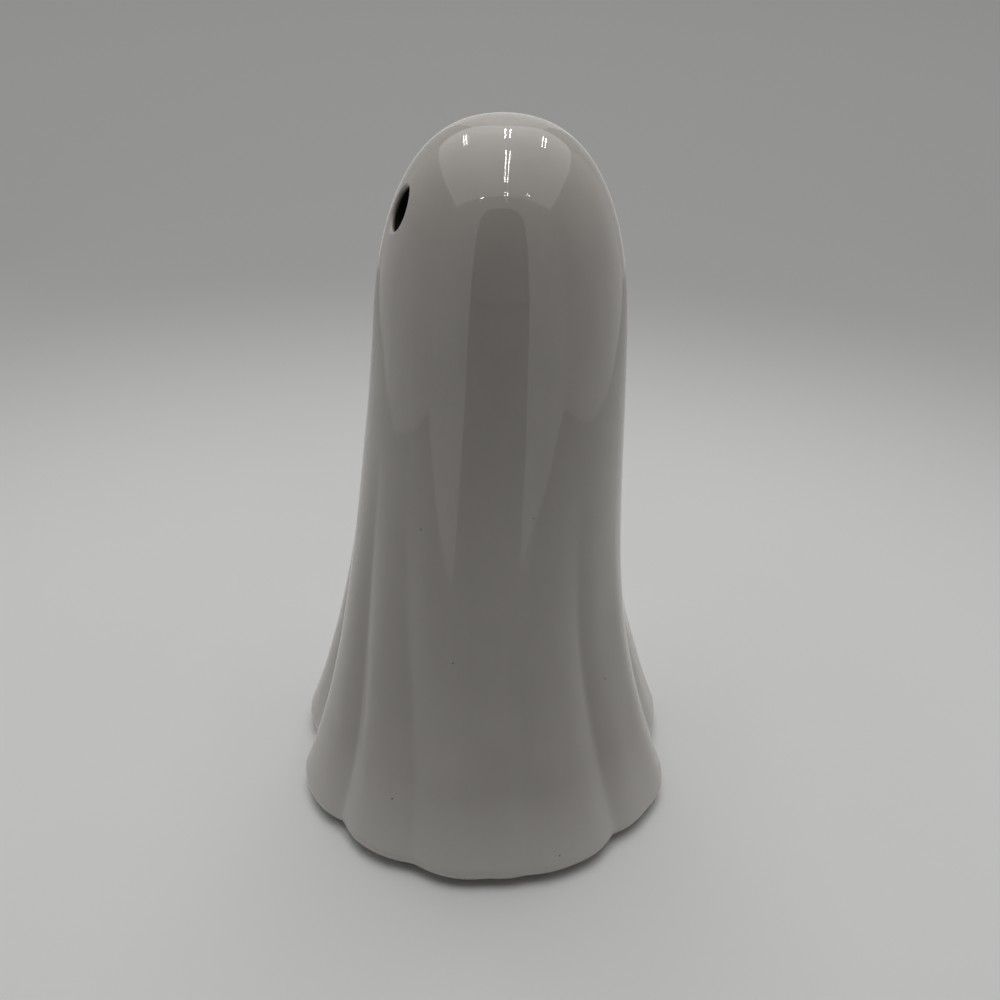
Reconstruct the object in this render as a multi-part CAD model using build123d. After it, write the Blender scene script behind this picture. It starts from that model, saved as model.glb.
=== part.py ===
from build123d import *
from collections import namedtuple
import math
import os

# Hollow glazed ceramic ghost with cut eyes, lit by a battery light unit plugged into its foot.
# The origin is on the table under the middle of the foot, +Z is up and the face looks along -Y.
# All sizes are in millimetres and degrees. Azimuths run from the face towards the ghost's left, +X.

# Ceramic shell: a domed head on a body that tapers and then flares to a rolled hem
HEIGHT = 165.0
DOME_HEIGHT = 41.0
DOME_FULLNESS = 2.65
HEAD_RADIUS = 25.7
BODY_TAPER = 0.08
HEM_RADIUS = 46.7
HEM_ROUNDING = 4.0
FLARE_POWER = 3.1
SIDE_NARROWING = 3.5
HEAD_SETBACK = 0.8
BELLY_FORWARD = 1.2
WALL = 3.8
FLOOR_THICKNESS = 4.5

# Eyes cut through the head
EYE_WIDTH = 6.6
EYE_LENGTH = 8.6
EYE_DROP = 14.8
EYE_AZIMUTH = 19.0
EYE_TILT = 22.0

# Draped folds: grooves of positive depth and lobes of negative depth.
# Each has its azimuth at the hem, its turn towards the head, its depth at the hem,
# its half width, and how far below the dome it starts.
Fold = namedtuple("Fold", "azimuth turn depth half_width start")
FOLDS = [
    Fold(2.4, 0, 3.4, 8, 25),
    Fold(25, 7, -0.7, 13, 22),
    Fold(-20, -7, -2.5, 13, 22),
    Fold(39.5, -8, 1.5, 6, 8),
    Fold(-39, 7, 1.5, 6.5, 12),
    Fold(68, -18, 1.2, 8, 4),
    Fold(-66, 16, 1.0, 9, 10),
    Fold(93, -3, 0.5, 6, 55),
    Fold(105, 0, 0.5, 6, 45),
    Fold(-94, 2, 0.5, 7, 50),
    Fold(-112, 3, 0.5, 8, 40),
    Fold(138, -10, 1.5, 6.5, 16),
    Fold(-139, 9, 1.5, 7, 20),
    Fold(160.5, -5, -0.9, 6.5, 31),
    Fold(-159, 5, -2.1, 6.5, 31),
    Fold(180.5, 0, 3.0, 8, 35),
]
FOLD_FULL_HEIGHT = 22.0
SECTION_POINTS = 72
SKIRT_SECTIONS = 9
SKIRT_CROWDING = 1.4
DOME_SECTIONS = (0.2, 0.4, 0.6, 0.77, 0.9, 0.975)
LIP_ANGLES = (-90, -55, -20)

# Pads under the foot
PAD_THICKNESS = 0.8
PAD_RADIUS = 1.5
PAD_COUNT = 4
PAD_EDGE = 1.5

# Clearances: between parts that move, between parts that are assembled, and round the light unit
GAP = 0.3
FIT = 0.1
UNIT_ROOM = 0.8

# Light unit: flanged housing and the soft ring that grips the hole in the foot
TABLE_CLEARANCE = 1.2
FLANGE_THICKNESS = 2.0
FLANGE_WIDTH = 3.4
FLANGE_CLEARANCE = 0.8
PLATE_THICKNESS = 3.0
UNIT_WALL = 1.8
GASKET_LIP = 0.8
GASKET_WALL = 0.8
GASKET_RIB = 0.5

# Two AAA cells, side by side along X, and their bay
CELL_DIAMETER = 10.5
CELL_LENGTH = 44.5
CELL_NUB_DIAMETER = 3.8
CELL_NUB_LENGTH = 0.8
CELL_EDGE = 0.5
CELL_SPACING = 0.6
CELL_CLEARANCE = 0.4
BAY_WALL = 1.6
BAY_SETBACK = 2.0
BAY_ROOF = 1.4
BAY_CORNER_CLEARANCE = 0.4

# Battery door on two hooked tabs, held by one screw
DOOR_THICKNESS = 2.0
DOOR_LEDGE = 0.8
DOOR_RIB = 0.6
DOOR_RIB_WIDTH = 1.2
DOOR_RIB_SPACING = 30.0
TAB_LENGTH = 1.2
TAB_WIDTH = 5.0
TAB_DROP = 1.0
TAB_SPACING = 13.0
LUG_RADIUS = 3.0
LUG_REACH = 1.6
DOOR_SCREW_RADIUS = 1.0
DOOR_SCREW_LENGTH = 4.0
DOOR_SCREW_HEAD_RADIUS = 1.9
DOOR_SCREW_HEAD = 1.1
DOOR_SCREW_SWING = 0.5
BOSS_RADIUS = 2.6
BOSS_ROOF = 1.0

# Sheet metal contacts
CONTACT_THICKNESS = 0.4
CONTACT_PLATE = 8.0
LEAF_DEPTH = 2.6
LEAF_WIDTH = 5.0
STRIP_WIDTH = 3.0
STRIP_BEND = 0.8
STRIP_TAB_X = 11.4
STRIP_PROUD = 0.8

# Circuit board and what is soldered to it
BOARD_LENGTH = 26.0
BOARD_FRONT = 10.0
BOARD_MARGIN = 1.6
BOARD_CORNER = 1.5
BOARD_THICKNESS = 1.6
BOARD_STANDOFF = 2.4
BOARD_HEADROOM = 3.5
BOARD_POST_RADIUS = 2.2
BOARD_POST_X = 10.0
BOARD_STUD_X = 9.0
BOARD_STUD_Y = 5.5
BOARD_SCREW_RADIUS = 1.0
BOARD_SCREW_LENGTH = 5.0
BOARD_SCREW_HEAD_RADIUS = 1.9
BOARD_SCREW_HEAD = 1.4
LED_RADIUS = 2.5
LED_COLLAR_RADIUS = 2.9
LED_COLLAR = 1.0
LED_HEIGHT = 8.6
LED_STANDOFF = 0.8
LED_PITCH = 2.54
LEAD_SIZE = 0.5
LEAD_PROUD = 1.0
RESISTOR_RADIUS = 1.15
RESISTOR_LENGTH = 6.3
RESISTOR_PITCH = 10.0
RESISTOR_Y = 8.5

# Slide switch under the board, worked by a knob in the bottom plate
SWITCH_LENGTH = 8.6
SWITCH_WIDTH = 4.4
SWITCH_HEIGHT = 4.6
SWITCH_SHEET = 0.5
SWITCH_BASE = 1.2
SWITCH_OFFSET = 6.2
SWITCH_TRAVEL = 2.0
LEVER_LENGTH = 2.0
LEVER_WIDTH = 1.6
LEVER_REACH = 4.0
LEVER_HEAD = 1.4
KNOB_LENGTH = 9.0
KNOB_WIDTH = 7.0
KNOB_BASE = 1.2
KNOB_POST_WALL = 1.2
KNOB_TOP_GAP = 0.8
NUB_LENGTH = 5.0
NUB_WIDTH = 3.4
NUB_PROUD = 0.5
NUB_GROOVES = 3
NUB_GROOVE = 0.6
RAIL_WIDTH = 1.0

# Top cover, its screws and the frosted dome over the lamp
COVER_THICKNESS = 1.8
COVER_SPIGOT = 2.0
COVER_SPIGOT_WALL = 1.2
POST_RADIUS = 2.6
POST_AZIMUTHS = (48, 132, 270)
COVER_SCREW_RADIUS = 1.2
COVER_SCREW_LENGTH = 8.0
COVER_SCREW_HEAD_RADIUS = 2.2
COVER_SCREW_HEAD = 1.5
DIFFUSER_RADIUS = 11.0
DIFFUSER_WALL = 1.2
DIFFUSER_FLANGE = 2.4
DIFFUSER_FLANGE_THICKNESS = 1.4
DIFFUSER_SEAT = 0.9

# Levels of the shell and the light unit
foot = PAD_THICKNESS
neck = HEIGHT - DOME_HEIGHT
flare_run = neck - foot - HEM_ROUNDING
flare_width = HEM_RADIUS - HEAD_RADIUS - BODY_TAPER * flare_run
flare_angle = math.atan2(BODY_TAPER * flare_run + FLARE_POWER * flare_width, flare_run)
lip_centre = foot + HEM_ROUNDING
lip_top = lip_centre + HEM_ROUNDING * math.sin(flare_angle)
unit_bottom = TABLE_CLEARANCE
flange_top = unit_bottom + FLANGE_THICKNESS
plate_top = unit_bottom + PLATE_THICKNESS
floor_under = flange_top + GASKET_LIP + GAP
floor_top = floor_under + FLOOR_THICKNESS
door_top = unit_bottom + DOOR_THICKNESS
ledge = door_top + GAP
cell_axis = door_top + DOOR_RIB + GAP + CELL_DIAMETER / 2
roof_under = cell_axis + CELL_DIAMETER / 2 + CELL_CLEARANCE
roof_top = roof_under + BAY_ROOF
board_bottom = roof_top + BOARD_STANDOFF
board_top = board_bottom + BOARD_THICKNESS
rim = board_top + BOARD_HEADROOM
cover_top = rim + COVER_THICKNESS

# Plan sizes of the bay, the housing and the hole in the foot
cell_pitch = CELL_DIAMETER + CELL_SPACING
bay_length = CELL_LENGTH + LEAF_DEPTH + 2 * CONTACT_THICKNESS + 4 * FIT
bay_width = cell_pitch + CELL_DIAMETER + 2 * CELL_CLEARANCE
bay_y = -BAY_SETBACK
cell_left_y = bay_y + cell_pitch / 2
cell_right_y = bay_y - cell_pitch / 2
bay_outer_length = bay_length + 2 * BAY_WALL
bay_outer_width = bay_width + 2 * BAY_WALL
opening_length = bay_length + 2 * DOOR_LEDGE
opening_width = bay_width + 2 * DOOR_LEDGE
bay_corner = math.hypot(bay_outer_length / 2, bay_outer_width / 2 + BAY_SETBACK)
bore_radius = bay_corner + BAY_CORNER_CLEARANCE
unit_radius = bore_radius + UNIT_WALL
flange_radius = unit_radius + FLANGE_WIDTH
gasket_inner = unit_radius + FIT
gasket_outer = gasket_inner + GASKET_WALL
foot_hole_radius = gasket_outer + GASKET_RIB + GAP
recess_radius = flange_radius + FLANGE_CLEARANCE
switch_y = bay_y + bay_outer_width / 2 + SWITCH_OFFSET
lug_x = opening_length / 2 + LUG_REACH
hinge_x = -(opening_length / 2 - GAP)


def disc(radius, bottom, top, x=0.0, y=0.0):
    return Pos(x, y, bottom) * Cylinder(radius, top - bottom, align=(Align.CENTER, Align.CENTER, Align.MIN))


def block(length, width, bottom, top, x=0.0, y=0.0):
    return Pos(x, y, bottom) * Box(length, width, top - bottom, align=(Align.CENTER, Align.CENTER, Align.MIN))


def turned(points):
    # Body turned about Z from a closed outline of radius and height
    return revolve(make_face(Plane.XZ * Polyline(*points, close=True)), Axis.Z)


def screw(x, y, seat, radius, length, head_radius, head_height):
    # Pan head screw standing head up on its seat
    return disc(radius, seat - length, seat, x, y) + disc(head_radius, seat, seat + head_height, x, y)


def smooth(share):
    share = min(1.0, max(0.0, share))
    return share * share * (3 - 2 * share)


def centre_y(z):
    # The skirt swings forward under the face and the head sits a little back
    rise = min(1.0, z / neck)
    return HEAD_SETBACK * smooth(rise) - BELLY_FORWARD * math.sin(math.pi * rise) ** 2


def dome_share(rise):
    # Part of the head's width left at a share of the dome's height
    return (1 - rise ** DOME_FULLNESS) ** (1 / DOME_FULLNESS)


def tapered_radius(z):
    return HEAD_RADIUS + BODY_TAPER * (neck - z)


def plain_radius(z):
    # Front and back outline of the ghost before it is folded
    if z >= neck:
        return tapered_radius(z) * dome_share((z - neck) / DOME_HEIGHT)
    level = max(z, lip_top)
    spread = (neck - level) / (neck - lip_top)
    flare = HEM_RADIUS - tapered_radius(lip_top)
    radius = tapered_radius(level) + flare * spread ** FLARE_POWER
    if z < lip_top:
        reach = math.sqrt(max(0.0, HEM_ROUNDING ** 2 - (lip_centre - z) ** 2))
        radius += reach - HEM_ROUNDING * math.cos(flare_angle)
    return radius


def narrowing(z):
    # The skirt is narrower from side to side than from front to back
    return SIDE_NARROWING * max(0.0, 1 - z / neck) ** 2


def fold_growth(z, start):
    # Folds grow from nothing at their start to full depth near the hem
    return smooth((start - z) / (start - FOLD_FULL_HEIGHT))


def folded_radius(azimuth, z):
    radius = plain_radius(z) - narrowing(z) * math.sin(math.radians(azimuth)) ** 2
    for fold in FOLDS:
        away = azimuth - fold.azimuth - fold.turn * smooth(z / neck)
        away = (away + 180) % 360 - 180
        groove = math.exp(-((away / fold.half_width) ** 2))
        radius -= fold.depth * groove * fold_growth(z, neck - fold.start)
    return radius


def folded_section(z):
    points = []
    for step in range(SECTION_POINTS):
        azimuth = 360 * step / SECTION_POINTS
        turn = math.radians(azimuth)
        radius = folded_radius(azimuth, z)
        points.append((radius * math.sin(turn), centre_y(z) - radius * math.cos(turn), z))
    return make_face(Spline(*points, periodic=True))


def skirt_levels(bottom):
    # Levels from a height up to the dome, closer together near the hem
    steps = [(step / SKIRT_SECTIONS) ** SKIRT_CROWDING for step in range(SKIRT_SECTIONS + 1)]
    return [bottom + (neck - bottom) * step for step in steps]


def shell_outside():
    levels = [lip_centre + HEM_ROUNDING * math.sin(math.radians(angle)) for angle in LIP_ANGLES]
    levels += skirt_levels(lip_top)
    levels += [neck + DOME_HEIGHT * share for share in DOME_SECTIONS]
    return loft([folded_section(z) for z in levels] + [Vertex(0, HEAD_SETBACK, HEIGHT)])


def cast_radius(z):
    # Round hollow that keeps the cast wall behind the deepest groove
    return min(folded_radius(360 * step / SECTION_POINTS, z) for step in range(SECTION_POINTS)) - WALL


def shell_inside():
    # The hollow opens out round the light unit where the cast wall would leave it too little room
    ease = max(0.0, unit_radius + UNIT_ROOM + abs(centre_y(cover_top)) - cast_radius(cover_top))
    rounds = []
    for z in skirt_levels(floor_top):
        share = min(1.0, (neck - z) / (neck - cover_top))
        rounds.append(Pos(0, centre_y(z), z) * Circle(cast_radius(z) + ease * share))
    for share in DOME_SECTIONS:
        z = neck + (DOME_HEIGHT - WALL) * share
        rounds.append(Pos(0, HEAD_SETBACK, z) * Circle((tapered_radius(z) - WALL) * dome_share(share)))
    return loft(rounds + [Vertex(0, HEAD_SETBACK, HEIGHT - WALL)])


def eye_cut(azimuth):
    turn = math.radians(azimuth)
    tilt = math.radians(EYE_TILT)
    height = HEIGHT - EYE_DROP
    radius = plain_radius(height)
    place = (radius * math.sin(turn), HEAD_SETBACK - radius * math.cos(turn), height)
    across = (math.cos(turn), math.sin(turn), 0)
    outward = (math.sin(turn) * math.cos(tilt), -math.cos(turn) * math.cos(tilt), math.sin(tilt))
    face = Plane(origin=place, x_dir=across, z_dir=outward) * Ellipse(EYE_WIDTH / 2, EYE_LENGTH / 2)
    return extrude(face, 3 * WALL, both=True)


def ghost_shell():
    shell = shell_outside() - shell_inside()
    shell -= disc(foot_hole_radius, 0, floor_top + WALL)
    shell -= disc(recess_radius, 0, floor_under)
    for azimuth in (EYE_AZIMUTH, -EYE_AZIMUTH):
        shell -= eye_cut(azimuth)
    return shell


def foot_pads():
    foot_edge = plain_radius(foot) - narrowing(foot) / 2 - PAD_EDGE
    ring = (recess_radius + foot_edge) / 2
    pads = []
    for index in range(PAD_COUNT):
        turn = 2 * math.pi * (index + 0.5) / PAD_COUNT
        pads.append(disc(PAD_RADIUS, 0, foot, ring * math.cos(turn), ring * math.sin(turn)))
    return Compound(pads)


def gasket_ring():
    lip_outer = flange_radius - FIT
    lip_top_face = flange_top + GASKET_LIP
    sleeve_top = floor_top - FIT
    rib_step = (sleeve_top - lip_top_face) / 4
    outline = [(gasket_inner, flange_top), (lip_outer, flange_top), (lip_outer, lip_top_face)]
    outline.append((gasket_outer, lip_top_face))
    for rib in (1, 3):
        middle = lip_top_face + rib * rib_step
        outline.append((gasket_outer, middle - GASKET_RIB))
        outline.append((gasket_outer + GASKET_RIB, middle))
        outline.append((gasket_outer, middle + GASKET_RIB))
    outline += [(gasket_outer, sleeve_top), (gasket_inner, sleeve_top)]
    return turned(outline)


def post_places():
    # The posts stand half way into the housing's wall
    ring = bore_radius + UNIT_WALL / 2 - POST_RADIUS
    places = []
    for azimuth in POST_AZIMUTHS:
        turn = math.radians(azimuth)
        places.append((ring * math.cos(turn), ring * math.sin(turn)))
    return places


def board_fixings():
    # One screw on a tall post by the switch and one on the bay's roof
    return [(-BOARD_POST_X, switch_y), (BOARD_STUD_X, -BOARD_STUD_Y)]


def strip_slot_x():
    return -bay_length / 2 + FIT + CONTACT_THICKNESS / 2


def tab_places():
    return (bay_y - TAB_SPACING / 2, bay_y + TAB_SPACING / 2)


def tab_relief(y):
    # Room above the lip for a door tab to swing in
    swing = math.hypot(TAB_LENGTH, DOOR_THICKNESS) + GAP
    width = TAB_WIDTH + 2 * GAP
    room = Pos(hinge_x, y, unit_bottom) * Rot(90, 0, 0) * Cylinder(swing, width)
    return room & block(2 * swing, width, unit_bottom + TAB_DROP - GAP, plate_top, hinge_x, y)


def base_housing():
    body = disc(flange_radius, unit_bottom, flange_top)
    body += disc(unit_radius, unit_bottom, rim)
    body -= disc(bore_radius, plate_top, rim)
    body += block(bay_outer_length, bay_outer_width, unit_bottom, roof_top, 0, bay_y)
    post_x, post_y = board_fixings()[0]
    stud_x, stud_y = board_fixings()[1]
    body += disc(BOARD_POST_RADIUS, unit_bottom, board_bottom, post_x, post_y)
    body += disc(BOARD_POST_RADIUS, roof_under, board_bottom, stud_x, stud_y)
    for x, y in post_places():
        body += disc(POST_RADIUS, unit_bottom, rim, x, y)
        body -= disc(COVER_SCREW_RADIUS + FIT, rim - COVER_SCREW_LENGTH, rim, x, y)
    boss_top = door_top - DOOR_SCREW_HEAD + DOOR_SCREW_LENGTH + BOSS_ROOF
    body += disc(BOSS_RADIUS, unit_bottom, boss_top, lug_x, bay_y)
    body -= block(bay_length, bay_width, unit_bottom, roof_under, 0, bay_y)
    body -= block(opening_length, opening_width, unit_bottom, ledge, 0, bay_y)
    body -= disc(LUG_RADIUS + GAP, unit_bottom, ledge, lug_x, bay_y)
    body -= disc(DOOR_SCREW_RADIUS + DOOR_SCREW_SWING, unit_bottom, boss_top - BOSS_ROOF + GAP, lug_x, bay_y)
    for y in tab_places():
        body -= tab_relief(y)
    for x, y in board_fixings():
        body -= disc(BOARD_SCREW_RADIUS + FIT, board_top - BOARD_SCREW_LENGTH, board_bottom, x, y)
    rail_y = KNOB_WIDTH / 2 + GAP + RAIL_WIDTH / 2
    rail_length = KNOB_LENGTH + SWITCH_TRAVEL
    for side in (-rail_y, rail_y):
        body += block(rail_length, RAIL_WIDTH, unit_bottom, plate_top + GAP + KNOB_BASE, 0, switch_y + side)
    slot_length = NUB_LENGTH + SWITCH_TRAVEL + 2 * GAP
    body -= block(slot_length, NUB_WIDTH + 2 * GAP, unit_bottom, plate_top, 0, switch_y)
    slot = CONTACT_THICKNESS + STRIP_BEND + 2 * FIT
    for y in (cell_left_y, cell_right_y):
        body -= block(slot, STRIP_WIDTH + 2 * FIT, roof_under, roof_top, (slot - bay_length) / 2, y)
    return body


def battery_door():
    length = opening_length - 2 * GAP
    width = opening_width - 2 * GAP
    door = block(length, width, unit_bottom, door_top, 0, bay_y)
    door += disc(LUG_RADIUS, unit_bottom, door_top, lug_x, bay_y)
    for y in tab_places():
        door += block(2 * TAB_LENGTH, TAB_WIDTH, unit_bottom + TAB_DROP, door_top, hinge_x, y)
    for x in (-DOOR_RIB_SPACING / 2, DOOR_RIB_SPACING / 2):
        door += block(DOOR_RIB_WIDTH, bay_width - 2 * GAP, door_top, door_top + DOOR_RIB, x, bay_y)
    door -= disc(DOOR_SCREW_RADIUS + FIT, unit_bottom, door_top, lug_x, bay_y)
    door -= disc(DOOR_SCREW_HEAD_RADIUS + FIT, unit_bottom, unit_bottom + DOOR_SCREW_HEAD, lug_x, bay_y)
    return door


def door_screw():
    seat = unit_bottom + DOOR_SCREW_HEAD
    shank = disc(DOOR_SCREW_RADIUS, seat, seat + DOOR_SCREW_LENGTH, lug_x, bay_y)
    return shank + disc(DOOR_SCREW_HEAD_RADIUS, unit_bottom, seat, lug_x, bay_y)


def cell(y, side):
    # Dry cell along X with its nub towards -X when side is -1
    radius = CELL_DIAMETER / 2
    shoulder = CELL_LENGTH - CELL_NUB_LENGTH
    can = fillet(disc(radius, 0, shoulder).edges(), CELL_EDGE)
    body = can + disc(CELL_NUB_DIAMETER / 2, shoulder, CELL_LENGTH)
    tip = bay_length / 2 - CONTACT_THICKNESS - 2 * FIT
    return Pos(side * (tip - CELL_LENGTH), y, cell_axis) * Rot(0, side * 90, 0) * body


def contact_plate(side, y, width):
    # Flat plate against the end wall of the bay
    x = side * (bay_length / 2 - FIT - CONTACT_THICKNESS / 2)
    half = CONTACT_PLATE / 2
    return block(CONTACT_THICKNESS, width, cell_axis - half, cell_axis + half, x, y)


def contact_leaf(side, y):
    # Bowed spring leaf that presses on the flat end of a cell
    back = side * (bay_length / 2 - FIT - CONTACT_THICKNESS / 2)
    bow = back - side * LEAF_DEPTH
    half = CONTACT_PLATE / 2 - CONTACT_THICKNESS
    arc = ThreePointArc((back, cell_axis - half), (bow, cell_axis), (back, cell_axis + half))
    return Pos(0, y, 0) * extrude(Plane.XZ * trace(arc, CONTACT_THICKNESS), LEAF_WIDTH / 2, both=True)


def contact_strip(y):
    # Bent strip from the bay up through its roof and the board
    x = strip_slot_x()
    run = roof_top + FIT + CONTACT_THICKNESS / 2
    corners = [(x, cell_axis), (x, run), (-STRIP_TAB_X, run), (-STRIP_TAB_X, board_top + STRIP_PROUD)]
    path = FilletPolyline(*corners, radius=STRIP_BEND)
    return Pos(0, y, 0) * extrude(Plane.XZ * trace(path, CONTACT_THICKNESS), STRIP_WIDTH / 2, both=True)


def positive_contact():
    return contact_plate(-1, cell_left_y, CONTACT_PLATE) + contact_strip(cell_left_y)


def negative_contact():
    plate = contact_plate(-1, cell_right_y, CONTACT_PLATE) + contact_strip(cell_right_y)
    return plate + contact_leaf(-1, cell_right_y)


def bridge_contact():
    return contact_plate(1, bay_y, cell_pitch + CONTACT_PLATE) + contact_leaf(1, cell_left_y)


def led_board():
    back = switch_y + SWITCH_WIDTH / 2 + BOARD_MARGIN
    width = back + BOARD_FRONT
    outline = Pos(0, (back - BOARD_FRONT) / 2, board_bottom) * RectangleRounded(BOARD_LENGTH, width, BOARD_CORNER)
    board = extrude(outline, BOARD_THICKNESS)
    for x, y in board_fixings():
        board -= disc(BOARD_SCREW_RADIUS + FIT, board_bottom, board_top, x, y)
    for x in (-LED_PITCH / 2, LED_PITCH / 2):
        board -= disc(LEAD_SIZE / 2 + FIT, board_bottom, board_top, x, 0)
    for x in (-RESISTOR_PITCH / 2, RESISTOR_PITCH / 2):
        board -= disc(LEAD_SIZE / 2 + FIT, board_bottom, board_top, x, RESISTOR_Y)
    for y in (cell_left_y, cell_right_y):
        slot = CONTACT_THICKNESS + 2 * FIT
        board -= block(slot, STRIP_WIDTH + 2 * FIT, board_bottom, board_top, -STRIP_TAB_X, y)
    return board


def board_screws():
    sizes = (BOARD_SCREW_RADIUS, BOARD_SCREW_LENGTH, BOARD_SCREW_HEAD_RADIUS, BOARD_SCREW_HEAD)
    return Compound([screw(x, y, board_top, *sizes) for x, y in board_fixings()])


def led():
    base = board_top + LED_STANDOFF
    lamp = disc(LED_COLLAR_RADIUS, base, base + LED_COLLAR)
    lamp += disc(LED_RADIUS, base, base + LED_HEIGHT - LED_RADIUS)
    lamp += Pos(0, 0, base + LED_HEIGHT - LED_RADIUS) * Sphere(LED_RADIUS)
    for x in (-LED_PITCH / 2, LED_PITCH / 2):
        lamp += disc(LEAD_SIZE / 2, board_bottom - LEAD_PROUD, base + LED_COLLAR, x, 0)
    return lamp


def resistor():
    axis = board_top + RESISTOR_RADIUS + FIT
    half = RESISTOR_PITCH / 2
    low = board_bottom - LEAD_PROUD
    body = fillet(Cylinder(RESISTOR_RADIUS, RESISTOR_LENGTH).edges(), RESISTOR_RADIUS / 2)
    path = FilletPolyline((-half, 0, low), (-half, 0, axis), (half, 0, axis), (half, 0, low), radius=LEAD_SIZE)
    wire = sweep(Plane(origin=(-half, 0, low), z_dir=(0, 0, 1)) * Circle(LEAD_SIZE / 2), path)
    return Pos(0, RESISTOR_Y, 0) * (wire + Pos(0, 0, axis) * Rot(0, 90, 0) * body)


def switch_frame():
    bottom = board_bottom - SWITCH_HEIGHT
    frame = block(SWITCH_LENGTH, SWITCH_WIDTH, bottom, board_bottom, 0, switch_y)
    room = SWITCH_LENGTH - 2 * SWITCH_SHEET
    frame -= block(room, SWITCH_WIDTH - 2 * SWITCH_SHEET, bottom + SWITCH_SHEET, board_bottom - SWITCH_BASE, 0, switch_y)
    slot = LEVER_LENGTH + SWITCH_TRAVEL + 2 * GAP
    frame -= block(slot, LEVER_WIDTH + 2 * GAP, bottom, bottom + SWITCH_SHEET, 0, switch_y)
    return frame


def switch_lever():
    # Stored at the off end of its travel
    x = -SWITCH_TRAVEL / 2
    bottom = board_bottom - SWITCH_HEIGHT
    head_length = SWITCH_LENGTH - 2 * SWITCH_SHEET - SWITCH_TRAVEL - 2 * GAP
    head_width = SWITCH_WIDTH - 2 * SWITCH_SHEET - 2 * GAP
    head_bottom = bottom + SWITCH_SHEET + GAP
    lever = block(head_length, head_width, head_bottom, head_bottom + LEVER_HEAD, x, switch_y)
    return lever + block(LEVER_LENGTH, LEVER_WIDTH, bottom - LEVER_REACH, head_bottom, x, switch_y)


def switch_knob():
    # Slides with the lever: a ribbed nub below the plate and a socket around the lever above it
    x = -SWITCH_TRAVEL / 2
    base = plate_top + GAP
    lever_bottom = board_bottom - SWITCH_HEIGHT - LEVER_REACH
    post_top = board_bottom - SWITCH_HEIGHT - KNOB_TOP_GAP
    post_length = LEVER_LENGTH + 2 * KNOB_POST_WALL
    post_width = LEVER_WIDTH + 2 * KNOB_POST_WALL
    nub_bottom = unit_bottom - NUB_PROUD
    knob = block(KNOB_LENGTH, KNOB_WIDTH, base, base + KNOB_BASE, x, switch_y)
    knob += block(post_length, post_width, base, post_top, x, switch_y)
    knob += block(NUB_LENGTH, NUB_WIDTH, nub_bottom, base, x, switch_y)
    knob -= block(LEVER_LENGTH + 2 * FIT, LEVER_WIDTH + 2 * FIT, lever_bottom - FIT, post_top, x, switch_y)
    for index in range(NUB_GROOVES):
        groove_x = x + NUB_LENGTH * ((index + 0.5) / NUB_GROOVES - 0.5)
        knob -= block(NUB_GROOVE, NUB_WIDTH, nub_bottom, nub_bottom + NUB_GROOVE, groove_x, switch_y)
    return knob


def housing_cover():
    cover = disc(unit_radius, rim, cover_top)
    spigot = bore_radius - GAP
    cover += disc(spigot, rim - COVER_SPIGOT, rim) - disc(spigot - COVER_SPIGOT_WALL, rim - COVER_SPIGOT, rim)
    for x, y in post_places():
        cover -= disc(POST_RADIUS + GAP, rim - COVER_SPIGOT, rim, x, y)
        cover -= disc(COVER_SCREW_RADIUS + FIT, rim, cover_top, x, y)
    cover -= disc(DIFFUSER_RADIUS + DIFFUSER_FLANGE + FIT, cover_top - DIFFUSER_SEAT, cover_top)
    cover -= disc(DIFFUSER_RADIUS - DIFFUSER_WALL, rim, cover_top)
    return cover


def cover_screws():
    sizes = (COVER_SCREW_RADIUS, COVER_SCREW_LENGTH, COVER_SCREW_HEAD_RADIUS, COVER_SCREW_HEAD)
    return Compound([screw(x, y, cover_top, *sizes) for x, y in post_places()])


def light_diffuser():
    seat = cover_top - DIFFUSER_SEAT
    spring_line = seat + DIFFUSER_FLANGE_THICKNESS
    inner = DIFFUSER_RADIUS - DIFFUSER_WALL
    cap = disc(DIFFUSER_RADIUS + DIFFUSER_FLANGE, seat, spring_line) + Pos(0, 0, spring_line) * Sphere(DIFFUSER_RADIUS)
    cap -= disc(DIFFUSER_RADIUS + DIFFUSER_FLANGE, seat - DIFFUSER_RADIUS, seat)
    cap -= disc(inner, seat, spring_line)
    return cap - Pos(0, 0, spring_line) * Sphere(inner)


PIECES = {
    "ghost_shell": ghost_shell,
    "foot_pads": foot_pads,
    "gasket_ring": gasket_ring,
    "base_housing": base_housing,
    "housing_cover": housing_cover,
    "cover_screws": cover_screws,
    "light_diffuser": light_diffuser,
    "led_board": led_board,
    "board_screws": board_screws,
    "led": led,
    "resistor": resistor,
    "switch_frame": switch_frame,
    "switch_lever": switch_lever,
    "switch_knob": switch_knob,
    "battery_door": battery_door,
    "door_screw": door_screw,
    "battery_left": lambda: cell(cell_left_y, -1),
    "battery_right": lambda: cell(cell_right_y, 1),
    "positive_contact": positive_contact,
    "negative_contact": negative_contact,
    "bridge_contact": bridge_contact,
}

os.makedirs("parts", exist_ok=True)
for name, make in PIECES.items():
    export_step(make(), f"parts/{name}.step")
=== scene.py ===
import math

import bpy
import numpy as np
from mathutils import Matrix, Vector


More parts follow.
